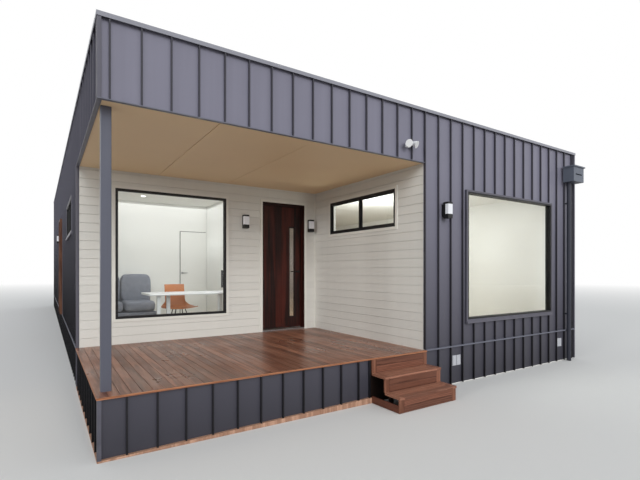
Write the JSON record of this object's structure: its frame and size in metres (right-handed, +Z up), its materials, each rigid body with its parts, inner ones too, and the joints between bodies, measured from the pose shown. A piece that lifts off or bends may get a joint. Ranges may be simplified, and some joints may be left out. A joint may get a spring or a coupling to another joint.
{
  "type": "beach house with a corner porch",
  "caption": "Single-storey beach house clad in grey standing-seam steel, with a corner porch, timber deck and steps, large windows, a sloping roof and two hinged doors.",
  "frame": {"origin": "on the ground under the middle of the house's box", "axes": "+X to the right along the front, +Y from the front to the back along the length, +Z up"},
  "size_m": [8.321, 20.406, 5.0016],
  "materials": {
    "wall_panel": "painted lining sheet, matt",
    "porch_boards": "cream painted boards, satin",
    "floor_timber": "sawn timber, matt",
    "porch_lining": "pale timber lining sheet, satin",
    "roof_steel": "pale grey coated steel sheet",
    "cladding_steel": "grey coated steel sheet, low sheen",
    "trim_steel": "grey coated steel, low sheen",
    "deck_timber": "oiled hardwood boards",
    "step_timber": "oiled hardwood boards",
    "window_frame": "dark powder-coated aluminium",
    "glass": "clear glazing",
    "door_timber": "dark red-brown varnished timber",
    "sill_metal": "mill-finish aluminium",
    "black_metal": "black powder coat",
    "opal": "opal diffuser",
    "white_plastic": "pale moulded plastic"
  },
  "bodies": {
    "house": {"front_wall": "wall_panel", "left_wall": "wall_panel", "right_wall": "wall_panel", "back_wall": "wall_panel", "doorway_walls": "wall_panel", "inner_walls": "wall_panel", "ceiling": "wall_panel", "porch_side_wall": "porch_boards", "porch_back_wall": "porch_boards", "porch_trims": "porch_boards", "floor": "floor_timber", "porch_beams": "floor_timber", "deck_frame": "floor_timber", "gutter_boards": "floor_timber", "porch_ceiling": "porch_lining", "roof": "roof_steel", "roof_sheet": "roof_steel", "box_gutter": "roof_steel", "cap_flashing": "roof_steel", "front_cladding": "cladding_steel", "fascia_cladding": "cladding_steel", "skirting_cladding": "cladding_steel", "left_cladding": "cladding_steel", "right_cladding": "cladding_steel", "back_cladding": "cladding_steel", "corner_flashings": "trim_steel", "strip_flashings": "trim_steel", "window_surrounds": "trim_steel", "rainhead": "trim_steel", "downpipe": "trim_steel", "post": "trim_steel", "deck": "deck_timber", "step_treads": "deck_timber", "step_frame": "step_timber", "window_frames": "window_frame", "window_glass": "glass", "door_frames": "door_timber", "door_sills": "sill_metal", "wall_lights": "black_metal", "light_diffusers": "opal", "floodlight": "white_plastic", "vents": "white_plastic"},
    "front_door_leaf": {"front_door": "door_timber", "front_door_glass": "glass", "front_door_lever": "black_metal"},
    "side_door_leaf": {"side_door": "door_timber", "side_door_lever": "black_metal"}
  },
  "joints": [
    {"name": "front_door_hinge", "type": "hinge", "parent": "house", "child": "front_door_leaf", "pos_m": [-1.0905, -6.668, 1.5], "axis": [0, 0, 1], "range_deg": [0, 95]},
    {"name": "side_door_hinge", "type": "hinge", "parent": "house", "child": "side_door_leaf", "pos_m": [-3.9085, -0.573, 1.5], "axis": [0, 0, 1], "range_deg": [0, 95]}
  ]
}
